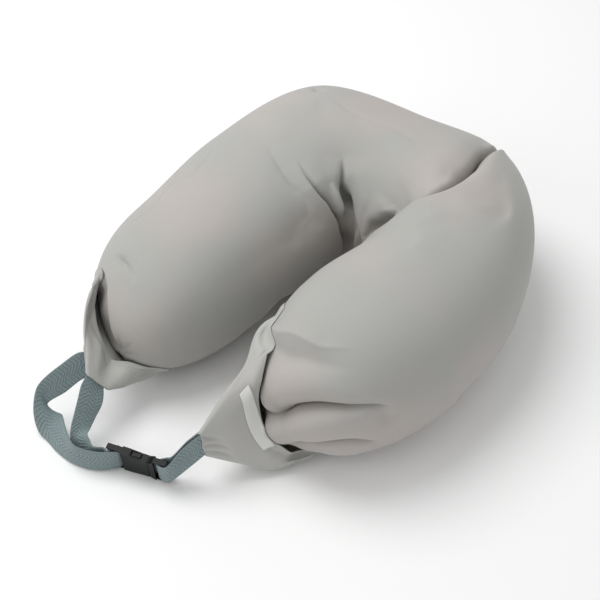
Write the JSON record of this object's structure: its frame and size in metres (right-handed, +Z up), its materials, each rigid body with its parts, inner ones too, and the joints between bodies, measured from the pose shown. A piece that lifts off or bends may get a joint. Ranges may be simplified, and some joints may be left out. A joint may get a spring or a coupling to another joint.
{
  "type": "travel pillow",
  "caption": "U-shaped filled cloth neck pillow whose two hooded ends are joined by a webbing strap with a side-release buckle.",
  "frame": {"origin": "on the surface it rests on, below the middle of the whole pillow's box", "axes": "+Z up, the U opens towards -Y and the bend is at +Y, +X to the right arm"},
  "size_m": [0.355, 0.4728, 0.1641],
  "materials": {
    "cushion_cloth": "warm pale grey stretch jersey over a bead filling, matt",
    "hood_cloth": "grey stretch jersey of the hoods, matt",
    "label_tape": "off-white woven tape, bare",
    "webbing": "grey-green flecked webbing",
    "buckle_plastic": "black moulded plastic, half gloss"
  },
  "bodies": {
    "root": {"cushion": "cushion_cloth", "hood_left": "hood_cloth", "hood_right": "hood_cloth", "label": "label_tape", "strap_left": "webbing", "strap_right": "webbing", "buckle_socket": "buckle_plastic", "buckle_plug": "buckle_plastic"}
  },
  "joints": []
}
